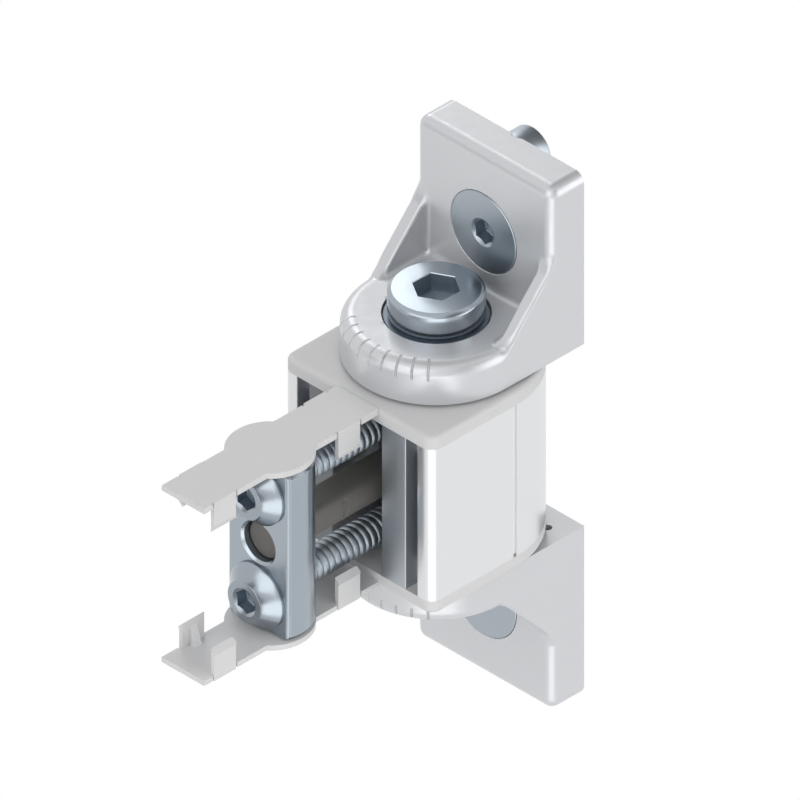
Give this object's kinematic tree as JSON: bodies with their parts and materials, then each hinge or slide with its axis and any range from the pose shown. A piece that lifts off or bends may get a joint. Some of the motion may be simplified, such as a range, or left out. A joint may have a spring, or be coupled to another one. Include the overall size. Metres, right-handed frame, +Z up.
{
  "type": "swivel bearing",
  "caption": "Swivel bearing that joins the end of a slotted strut to a wall or post: strut-end housing with a clamp bar, turning between angle brackets on a vertical pin.",
  "frame": {"origin": "centre of the plane that the strut's end butts against, at half height", "axes": "+X from the strut into the bearing and on to the wall, +Z up along the swivel axis, +Y across"},
  "size_m": [0.1004, 0.04, 0.12],
  "materials": {
    "housing": "satin anodised",
    "cap": "fine grained, light grey",
    "bracket": "satin silver powder coat on a casting",
    "pin": "turned",
    "rod": "plain, warm dark grey",
    "bar": "bright zinc",
    "screw": "bright zinc, blue tint",
    "stud": "bright zinc",
    "washer": "blackened",
    "bush": "plain bearing plastic"
  },
  "bodies": {
    "housing": {"housing": "housing", "upper_cap": "cap", "lower_cap": "cap", "pivot_pin": "pin", "core_rod": "rod", "upper_pivot_screw": "screw", "lower_pivot_screw": "screw", "upper_thrust_washer": "bush", "lower_thrust_washer": "bush", "upper_head_washer": "washer", "lower_head_washer": "washer"},
    "upper_bracket": {"upper_bracket": "bracket", "upper_bush": "bush", "upper_mount_screw": "screw", "upper_locating_stud": "stud"},
    "lower_bracket": {"lower_bracket": "bracket", "lower_bush": "bush", "lower_mount_screw": "screw", "lower_locating_stud": "stud"},
    "clamp_bar": {"clamp_bar": "bar"},
    "upper_clamp_screw": {"upper_clamp_screw": "screw"},
    "lower_clamp_screw": {"lower_clamp_screw": "screw"}
  },
  "joints": [
    {"name": "upper_swivel", "type": "hinge", "parent": "housing", "child": "upper_bracket", "pos_m": [0.0212, 0, 0.02095], "axis": [0, 0, 1], "range_deg": [-90, 90]},
    {"name": "lower_swivel", "type": "hinge", "parent": "housing", "child": "lower_bracket", "pos_m": [0.0212, 0, -0.02095], "axis": [0, 0, 1], "range_deg": [-90, 90]},
    {"name": "bar_slide", "type": "slide", "parent": "housing", "child": "clamp_bar", "axis": [1, 0, 0], "range_m": [-0.0015, 0.0015]},
    {"name": "upper_screw_turn", "type": "hinge", "parent": "clamp_bar", "child": "upper_clamp_screw", "pos_m": [-0.0233, 0, 0.0119], "axis": [1, 0, 0], "range_deg": [-340, 340]},
    {"name": "lower_screw_turn", "type": "hinge", "parent": "clamp_bar", "child": "lower_clamp_screw", "pos_m": [-0.0233, 0, -0.0119], "axis": [1, 0, 0], "range_deg": [-340, 340]}
  ],
  "couplings": [
    {"joint": "upper_screw_turn", "follows": "bar_slide", "rad_per_m": 3927},
    {"joint": "lower_screw_turn", "follows": "bar_slide", "rad_per_m": 3927}
  ]
}
